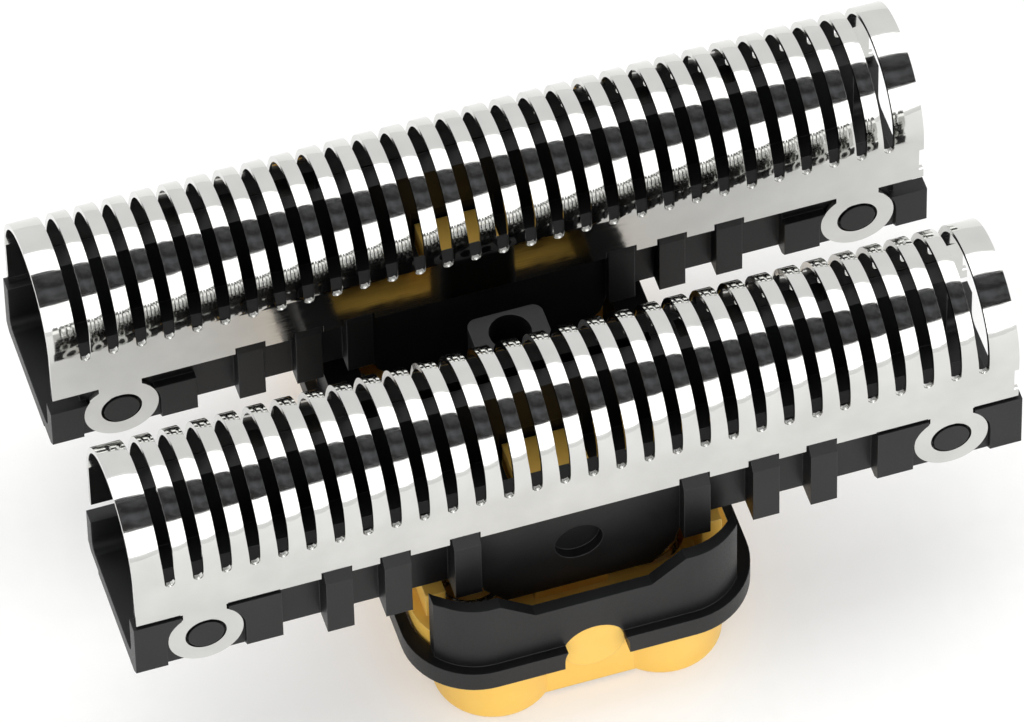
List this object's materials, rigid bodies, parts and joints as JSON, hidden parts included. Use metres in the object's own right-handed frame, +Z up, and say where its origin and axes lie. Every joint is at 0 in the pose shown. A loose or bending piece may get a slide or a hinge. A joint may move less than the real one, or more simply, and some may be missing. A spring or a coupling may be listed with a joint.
{
  "type": "shaver cutter block",
  "caption": "Cutter block of a foil shaver: arched slotted blades on floating black holders over an amber sprung carrier with a black retainer.",
  "frame": {"origin": "centre of the block in plan, at the underside of the carrier's feet", "axes": "+X along the blades, +Y from the front row to the rear row, +Z up through the arched blades"},
  "size_m": [0.0382, 0.0232, 0.0164],
  "materials": {
    "blade_steel": "polished stainless steel",
    "black_plastic": "satin moulded acetal",
    "amber_plastic": "satin moulded acetal",
    "spring_steel": "drawn wire"
  },
  "bodies": {
    "base": {"carrier": "amber_plastic", "retainer": "black_plastic", "spring_front_left": "spring_steel", "spring_front_right": "spring_steel", "spring_rear_left": "spring_steel", "spring_rear_right": "spring_steel"},
    "front_cutter": {"front_holder": "black_plastic", "front_blade": "blade_steel"},
    "rear_cutter": {"rear_holder": "black_plastic", "rear_blade": "blade_steel"}
  },
  "joints": [
    {"name": "front_float", "type": "slide", "parent": "base", "child": "front_cutter", "axis": [0, 0, 1], "range_m": [-0.001, 0], "stiffness_N_per_m": 400, "springref_m": 0.0015, "deforming": ["spring_front_left", "spring_front_right"]},
    {"name": "rear_float", "type": "slide", "parent": "base", "child": "rear_cutter", "axis": [0, 0, 1], "range_m": [-0.001, 0], "stiffness_N_per_m": 400, "springref_m": 0.0015, "deforming": ["spring_rear_left", "spring_rear_right"]}
  ]
}
